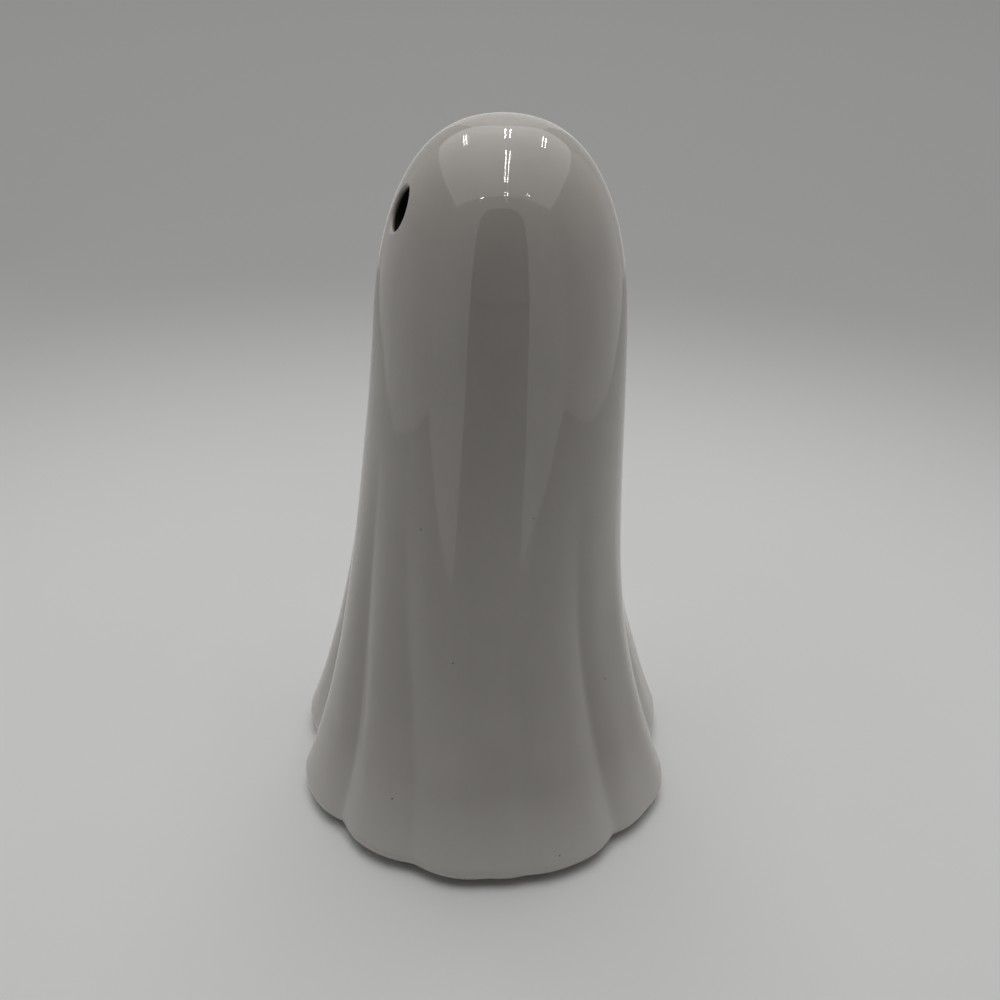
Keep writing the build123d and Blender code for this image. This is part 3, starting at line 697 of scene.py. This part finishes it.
finishes = {
    "foot_pads": pad, "gasket_ring": rubber, "base_housing": moulded, "housing_cover": moulded,
    "light_diffuser": frosted, "led_board": board_look(), "led": lamp,
    "resistor": banded_look("resistor_body", "resistor", RESISTOR_BANDS, RESISTOR_ROUGHNESS),
    "switch_frame": nickel, "switch_lever": black, "switch_knob": black, "battery_door": moulded,
    "battery_left": banded_look("left_cell_jacket", "battery_left", CELL_NUB_LOW, CELL_ROUGHNESS),
    "battery_right": banded_look("right_cell_jacket", "battery_right", CELL_NUB_HIGH, CELL_ROUGHNESS),
    "positive_contact": nickel, "negative_contact": nickel, "bridge_contact": nickel,
}
for node, finish in finishes.items():
    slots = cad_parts[node].material_slots
    if not slots:
        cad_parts[node].data.materials.append(finish)
    for slot in slots:
        slot.material = finish

# Screws with a cross recess in the head, in millimetres
SCREW_TURNS = 96
CROWN_RINGS = 24
CROWN_DROP = 0.2
CROWN_EDGE = 0.97
CROWN_MIDDLE = 0.03
CROWN_POWER = 4
TIP_BEVEL = 0.3
CROSS_HALF = 0.36
CROSS_REACH = 0.6
CROSS_DEPTH = 0.6
CROSS_EDGE = 0.14
SCREW_SPREAD = 5.0
# The solid's screws: node, body, head height, shank radius, and whether the head is on top
SCREWS = [("door_screw", "door", 1.1, 1.0, False), ("board_screws", "light_unit", 1.4, 1.0, True),
          ("cover_screws", "light_unit", 1.5, 1.2, True)]


def screw_places(node):
    """Low and high corners of each screw of a node, in millimetres."""
    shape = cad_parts[node]
    left = np.array([shape.matrix_world @ v.co for v in shape.data.vertices]) / MM
    while len(left):
        near = np.hypot(left[:, 0] - left[0, 0], left[:, 1] - left[0, 1]) < SCREW_SPREAD
        yield left[near].min(axis=0), left[near].max(axis=0)
        left = left[~near]


def lay_screw(skin, low, high, head, shank, up):
    """One pan head screw, from its tip to the middle of its recessed head."""
    way = 1 if up else -1
    middle, radius, length = (low + high) / 2, (high[0] - low[0]) / 2, high[2] - low[2]
    top = high[2] if up else low[2]
    turns = way * np.arange(SCREW_TURNS) * 2 * math.pi / SCREW_TURNS
    # Radius, depth below the top of the head, and depth of the cross
    outline = [(shank - TIP_BEVEL, length, 0), (shank, length - TIP_BEVEL, 0), (shank, head, 0),
               (radius, head, 0), (radius, 2 * CROWN_DROP, 0)]
    outline += [(radius * share, CROWN_DROP * share ** CROWN_POWER, CROSS_DEPTH)
                for share in np.linspace(CROWN_EDGE, CROWN_MIDDLE, CROWN_RINGS)]
    rings = []
    for reach, depth, cut in outline:
        across, along = reach * np.cos(turns), reach * np.sin(turns)
        arm = smooth((CROSS_HALF - np.minimum(np.abs(across), np.abs(along))) / CROSS_EDGE)
        sunk = depth + cut * arm * smooth((CROSS_REACH * radius - reach) / CROSS_EDGE)
        points = np.stack([middle[0] + across, middle[1] + along, top - way * sunk], axis=-1)
        rings.append(skin.add(points))
    for first, second in zip(rings, rings[1:]):
        skin.bridge(first, second)
    skin.faces.append(tuple(reversed(rings[0])))
    skin.faces.append(tuple(rings[-1]))


for node, body, head, shank, up in SCREWS:
    skin = Skin()
    for low, high in screw_places(node):
        lay_screw(skin, low, high, head, shank, up)
    made = piece(node + "_recessed", skin.points, skin.faces, steel)
    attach(made, body)
    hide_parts(node)

# Pale floor in metres, so broad that the camera sees nothing beyond it, with a painted light falloff that
# greys it away from the figure
FLOOR_HALF = 4.0
FLOOR_MIDDLE = -0.02
FLOOR_PALE_REACH = 0.10
FLOOR_FALLOFF_REACH = 0.31
FLOOR_BREADTH = 0.75
FLOOR_PALE = ((0.77, 0.785, 0.785), (0.795, 0.81, 0.81))
# Painted light falloff: the colour the floor greys to away from the figure
FLOOR_PAINTED_FALLOFF = (0.472, 0.480, 0.480, 1)
FLOOR_GRAIN_HEIGHT = 0.0002


def floor_look():
    look = Look("floor_card")
    pale = look.mottle(look.noise(5.0, 4.0), FLOOR_PALE)
    reach = look.node("ShaderNodeVectorMath", {"operation": "LENGTH"})
    look.link(look.mapped((1, FLOOR_BREADTH, 1), (-FLOOR_MIDDLE, 0, 0)), reach.inputs[0])
    # Painted light falloff: the floor's colour greys with distance from the figure
    away = look.node("ShaderNodeMapRange", {"interpolation_type": "SMOOTHSTEP"},
                     From_Min=FLOOR_PALE_REACH, From_Max=FLOOR_FALLOFF_REACH)
    look.link(reach.outputs["Value"], away.inputs["Value"])
    look.colour(look.mix(away.outputs["Result"], pale, FLOOR_PAINTED_FALLOFF))
    look.roughness(look.vary(look.noise(40.0), (0.8, 0.9)))
    look.bump(look.noise(900.0), 0.1, FLOOR_GRAIN_HEIGHT)
    look.shader.inputs["Specular IOR Level"].default_value = 0.0
    return look.material


floor_corners = [(x * FLOOR_HALF, y * FLOOR_HALF, 0) for x, y in ((-1, -1), (1, -1), (1, 1), (-1, 1))]
floor = piece("floor", floor_corners, [(0, 1, 2, 3)], floor_look(), 1.0)
floor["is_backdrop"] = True

# Lamps on three ceiling boards of the light box, mirrored as dots in the glaze, in metres
CEILING = 0.330
LAMP_PITCH = 0.008
LAMP_HALF = 0.0014
ROW_HALF = 0.005
LAMP_GLOW = 60.0
LAMP_BODY = (0.9, 0.9, 0.88, 1)
LAMP_COLOUR = (1.0, 0.97, 0.93, 1)
# How much lamps and walls vary in glow
GLOW_VARIES = (0.95, 1.05)
# Each group of lamps: where its board lies along Y, and its first and last lamp along X
LAMP_GROUPS = [(-0.104, -0.205, -0.105), (0.004, -0.240, -0.118), (0.097, -0.196, -0.098),
               (0.008, -0.026, 0.098), (-0.087, 0.160, 0.168), (0.013, 0.147, 0.155),
               (0.104, 0.132, 0.140)]


def mirrored_only(made):
    """Shows a piece of the light box in the glaze alone."""
    made.visible_camera = made.visible_diffuse = made.visible_shadow = False
    made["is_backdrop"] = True


def lamp_glow():
    look = Look("lamp_dots")
    look.shader.inputs["Base Color"].default_value = LAMP_BODY
    look.shader.inputs["Emission Color"].default_value = LAMP_COLOUR
    glow = look.vary(look.noise(30.0), (LAMP_GLOW * GLOW_VARIES[0], LAMP_GLOW * GLOW_VARIES[1]))
    look.link(glow, look.shader.inputs["Emission Strength"])
    return look.material


dots, quads = [], []
for board, start, end in LAMP_GROUPS:
    for row in (board - ROW_HALF, board + ROW_HALF):
        for step in range(int(round((end - start) / LAMP_PITCH)) + 1):
            x = start + step * LAMP_PITCH
            first = len(dots)
            for dx, dy in ((-1, -1), (-1, 1), (1, 1), (1, -1)):
                dots.append((x + dx * LAMP_HALF, row + dy * LAMP_HALF, CEILING))
            quads.append((first, first + 1, first + 2, first + 3))
mirrored_only(piece("ceiling_lamps", dots, quads, lamp_glow(), 1.0))

# Walls of the light box, in metres, with the brightness that the glaze mirrors
BOX_BACK = -0.34
BOX_FRONT = 0.165
BOX_SIDE = 0.26
BOX_TOP = 0.336
BACK_MIDDLE = 0.09
OPENING_HALF = 0.075
OPENING_TOP = 0.285
OPENING_CORNER = 0.045
CORNER_STEPS = 10
CEILING_GLOW = 0.9
BACK_GLOW = 0.46
CORNER_GLOW = 0.22
SIDE_GLOW = 0.35
FRONT_GLOW = 0.33
BOX_COLOUR = (1.0, 0.985, 0.96, 1)


def opening_outline():
    """Half of the arched opening that the camera looks through, from the floor to the middle of its top."""
    outline = [(OPENING_HALF, 0.0)]
    for step in range(CORNER_STEPS + 1):
        bend = math.pi / 2 * step / CORNER_STEPS
        outline.append((OPENING_HALF - OPENING_CORNER * (1 - math.cos(bend)),
                        OPENING_TOP - OPENING_CORNER * (1 - math.sin(bend))))
    return outline + [(0.0, OPENING_TOP)]


def box_look():
    look = Look("light_box_walls")
    cloth = look.vary(look.noise(18.0), GLOW_VARIES)
    glow = look.calc("MULTIPLY", look.attribute("glow"), cloth)
    look.link(glow, look.shader.inputs["Emission Strength"])
    look.shader.inputs["Emission Color"].default_value = BOX_COLOUR
    return look.material


def light_box():
    points, walls, glows = [], [], []

    def wall(corners, glow):
        walls.append(tuple(range(len(points), len(points) + len(corners))))
        points.extend(corners)
        glows.append(glow)

    wall([(BOX_BACK, -BOX_SIDE, BOX_TOP), (BOX_BACK, BOX_SIDE, BOX_TOP),
          (BOX_FRONT, BOX_SIDE, BOX_TOP), (BOX_FRONT, -BOX_SIDE, BOX_TOP)], CEILING_GLOW)
    edges = (-BOX_SIDE, -BACK_MIDDLE, BACK_MIDDLE, BOX_SIDE)
    for left, right, glow in zip(edges, edges[1:], (CORNER_GLOW, BACK_GLOW, CORNER_GLOW)):
        wall([(BOX_BACK, left, 0), (BOX_BACK, right, 0),
              (BOX_BACK, right, BOX_TOP), (BOX_BACK, left, BOX_TOP)], glow)
    front = opening_outline() + [(0.0, BOX_TOP), (BOX_SIDE, BOX_TOP), (BOX_SIDE, 0.0)]
    for side in (-1, 1):
        y = side * BOX_SIDE
        wall([(BOX_BACK, y, 0), (BOX_FRONT, y, 0), (BOX_FRONT, y, BOX_TOP), (BOX_BACK, y, BOX_TOP)],
             SIDE_GLOW)
        wall([(BOX_FRONT, side * across, z) for across, z in front], FRONT_GLOW)
    made = piece("light_box", points, walls, box_look(), 1.0)
    made.data.attributes.new("glow", "FLOAT", "FACE").data.foreach_set("value", glows)
    mirrored_only(made)


light_box()

# Soft lamps: name, place, direction, breadth and length in metres, and brightness
PANELS = [("overhead", (-0.5, 0.0, 3.0), (0, 0, -1), (2.5, 2.5), 3.15),
          ("left_fill", (-0.06, -0.26, 0.17), (0, 1, 0), (0.44, 0.32), 0.18),
          ("right_fill", (-0.06, 0.26, 0.17), (0, -1, 0), (0.44, 0.32), 0.18)]
PANEL_COLOUR = (1.0, 0.99, 0.97)


def panel(name, place, aim, size, glow):
    """An evenly glowing rectangle that neither the camera nor the glaze shows."""
    data = bpy.data.lights.new(name, "AREA")
    data.shape = "RECTANGLE"
    data.size, data.size_y = size
    data.energy = glow * math.pi * size[0] * size[1]
    data.color = PANEL_COLOUR
    made = bpy.data.objects.new(name, data)
    made.location = place
    made.rotation_euler = Vector(aim).to_track_quat("-Z", "Y").to_euler()
    made.visible_camera = made.visible_glossy = False
    scene.collection.objects.link(made)


for settings in PANELS:
    panel(*settings)

# Dim room beyond the box, a plain grey where it is seen or mirrored
ROOM_LIGHT = 0.05
ROOM_SEEN = 0.20
ROOM_COLOUR = (1.0, 1.0, 0.99, 1)
world = bpy.data.worlds.new("room")
scene.world = world
world.use_nodes = True
nodes, links = world.node_tree.nodes, world.node_tree.links
rays = nodes.new("ShaderNodeLightPath")
seen = rays.outputs["Is Camera Ray"]
for kind in ("Is Glossy Ray", "Is Transmission Ray"):
    either = nodes.new("ShaderNodeMath")
    either.operation = "MAXIMUM"
    links.new(seen, either.inputs[0])
    links.new(rays.outputs[kind], either.inputs[1])
    seen = either.outputs[0]
strength = nodes.new("ShaderNodeMapRange")
strength.inputs["To Min"].default_value = ROOM_LIGHT
strength.inputs["To Max"].default_value = ROOM_SEEN
links.new(seen, strength.inputs["Value"])
links.new(strength.outputs["Result"], nodes["Background"].inputs["Strength"])
nodes["Background"].inputs["Color"].default_value = ROOM_COLOUR

# Camera solved from the photograph: metres, degrees, and millimetres of lens and sensor
CAMERA_PLACE = (0.201405, 0.00197, 0.222422)
CAMERA_PITCH = 35.043
CAMERA_ROLL = 1.912
CAMERA_LENS = 39.53
CAMERA_SENSOR = 36.0
CAMERA_NEAR = 0.01
pitch, roll = math.radians(CAMERA_PITCH), math.radians(CAMERA_ROLL)
forward = Vector((-math.cos(pitch), 0, -math.sin(pitch)))
level_right = Vector((0, 1, 0))
level_up = level_right.cross(forward)
right = level_right * math.cos(roll) + level_up * math.sin(roll)
up = level_up * math.cos(roll) - level_right * math.sin(roll)
data = bpy.data.cameras.new("camera")
data.sensor_width = CAMERA_SENSOR
data.lens = CAMERA_LENS
data.clip_start = CAMERA_NEAR
camera = bpy.data.objects.new("camera", data)
turn = Matrix((right, up, -forward)).transposed()
camera.matrix_world = Matrix.Translation(CAMERA_PLACE) @ turn.to_4x4()
scene.collection.objects.link(camera)
scene.camera = camera

scene.view_settings.view_transform = "Standard"

low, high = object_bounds()
